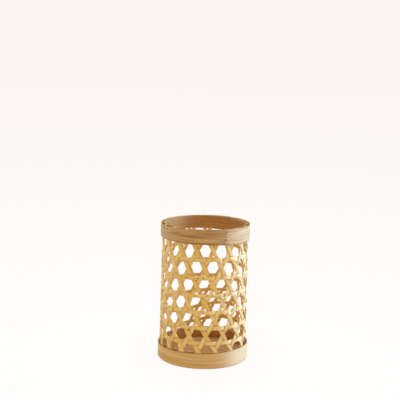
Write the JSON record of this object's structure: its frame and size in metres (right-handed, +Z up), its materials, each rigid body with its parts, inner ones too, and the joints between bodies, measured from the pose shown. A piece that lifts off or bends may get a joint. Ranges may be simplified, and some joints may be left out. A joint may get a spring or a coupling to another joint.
{
  "type": "bamboo flower basket",
  "caption": "Open cylinder of split-bamboo strips in a hexagonal weave, bound at rim and foot by bent hoops and closed by a wooden disc; holds flowers.",
  "frame": {"origin": "middle of the foot, on the surface that the basket stands on", "axes": "+Z up along the basket's axis, -Y towards the side that faces the camera"},
  "size_m": [0.1226, 0.1226, 0.185],
  "materials": {
    "weave_bamboo": "split bamboo, satin skin with pale cut edges",
    "rim_bamboo": "bent bamboo band, matt, with fine grain along its length",
    "foot_bamboo": "bent bamboo band, satin, with fine grain along its length",
    "inner_bamboo": "bent bamboo band, matt reddish brown",
    "base_wood": "planed wood, matt, with straight grain"
  },
  "bodies": {
    "root": {"rim_outer_hoop": "rim_bamboo", "rim_inner_hoop": "inner_bamboo", "foot_outer_hoop": "foot_bamboo", "foot_inner_hoop": "inner_bamboo", "base_disc": "base_wood", "weft_1": "weave_bamboo", "weft_2": "weave_bamboo", "weft_3": "weave_bamboo", "weft_4": "weave_bamboo", "weft_5": "weave_bamboo", "weft_6": "weave_bamboo", "weft_7": "weave_bamboo", "weft_8": "weave_bamboo", "right_riser_01": "weave_bamboo", "right_riser_02": "weave_bamboo", "right_riser_03": "weave_bamboo", "right_riser_04": "weave_bamboo", "right_riser_05": "weave_bamboo", "right_riser_06": "weave_bamboo", "right_riser_07": "weave_bamboo", "right_riser_08": "weave_bamboo", "right_riser_09": "weave_bamboo", "right_riser_10": "weave_bamboo", "right_riser_11": "weave_bamboo", "right_riser_12": "weave_bamboo", "right_riser_13": "weave_bamboo", "right_riser_14": "weave_bamboo", "right_riser_15": "weave_bamboo", "right_riser_16": "weave_bamboo", "left_riser_01": "weave_bamboo", "left_riser_02": "weave_bamboo", "left_riser_03": "weave_bamboo", "left_riser_04": "weave_bamboo", "left_riser_05": "weave_bamboo", "left_riser_06": "weave_bamboo", "left_riser_07": "weave_bamboo", "left_riser_08": "weave_bamboo", "left_riser_09": "weave_bamboo", "left_riser_10": "weave_bamboo", "left_riser_11": "weave_bamboo", "left_riser_12": "weave_bamboo", "left_riser_13": "weave_bamboo", "left_riser_14": "weave_bamboo", "left_riser_15": "weave_bamboo", "left_riser_16": "weave_bamboo"}
  },
  "joints": []
}
